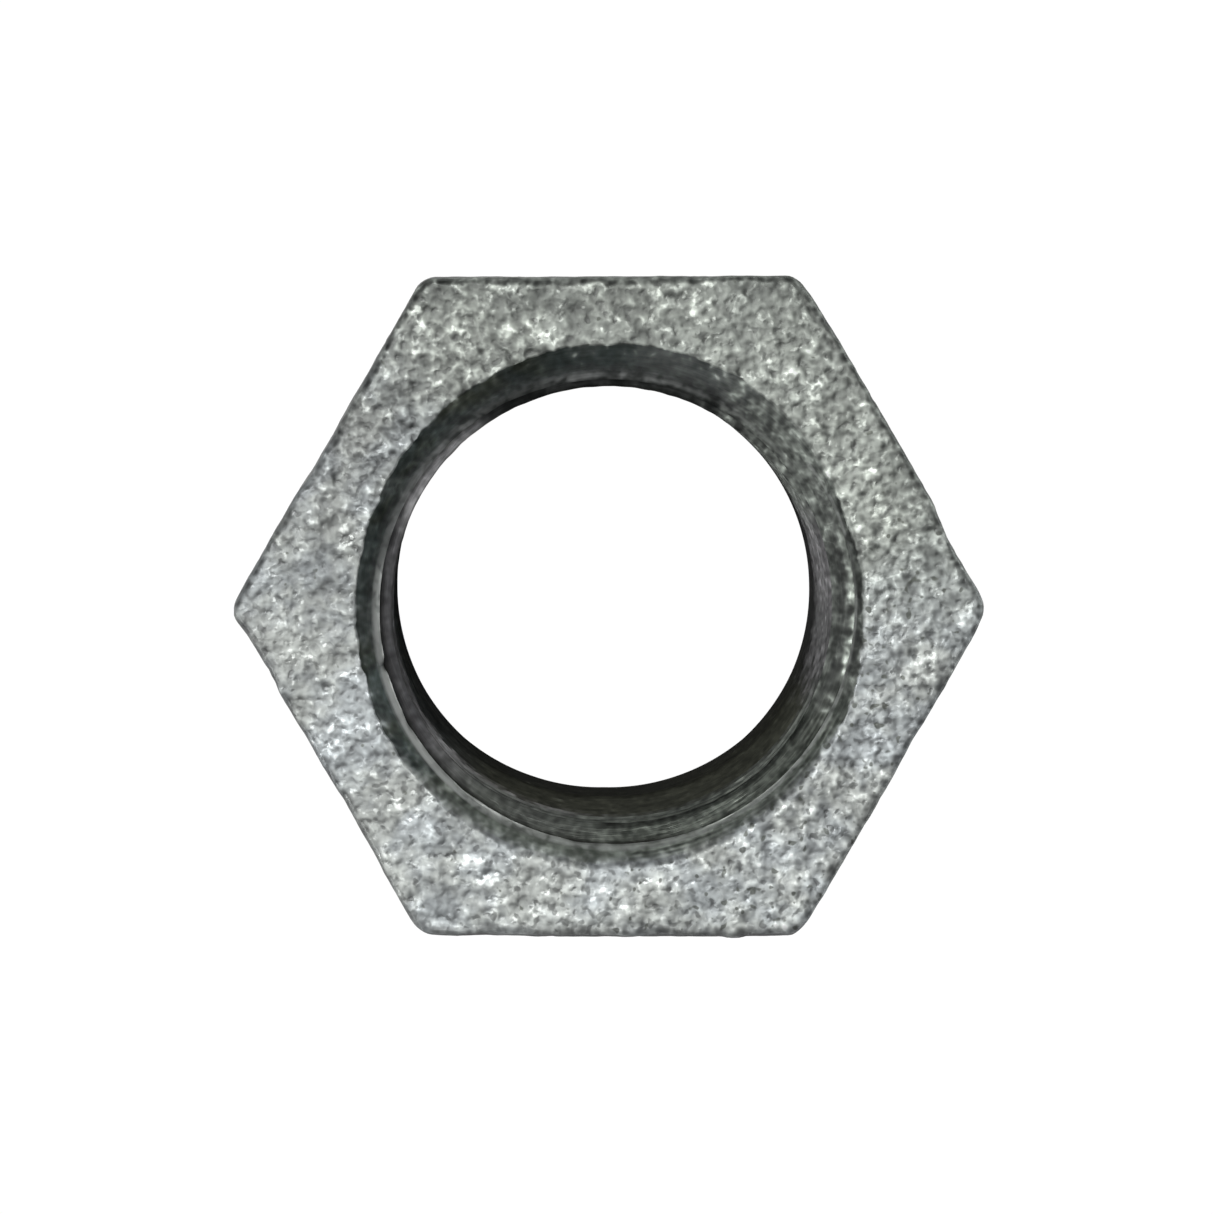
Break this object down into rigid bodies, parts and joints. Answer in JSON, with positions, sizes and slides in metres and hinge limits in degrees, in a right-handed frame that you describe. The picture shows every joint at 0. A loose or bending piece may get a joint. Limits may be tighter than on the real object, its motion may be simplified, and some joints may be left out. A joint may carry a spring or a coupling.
{
  "type": "hexagon reducing bush",
  "caption": "Galvanised hexagon reducing bush: taper male pipe thread below a hexagon head, smaller parallel female thread through the same axis.",
  "frame": {"origin": "centre of the male end face, on the common axis of both threads", "axes": "+Z along the thread axis from the male end towards the hexagon face, +X towards a hexagon corner, +Y square to a wrench flat"},
  "size_m": [0.041, 0.036, 0.029],
  "materials": {
    "galvanised_iron": "hot-dip galvanised malleable iron: rough matt zinc as cast on the hexagon and neck, bare machined iron with an oil film on the threads and countersink"
  },
  "bodies": {
    "root": {"reducer_body": "galvanised_iron"}
  },
  "joints": []
}
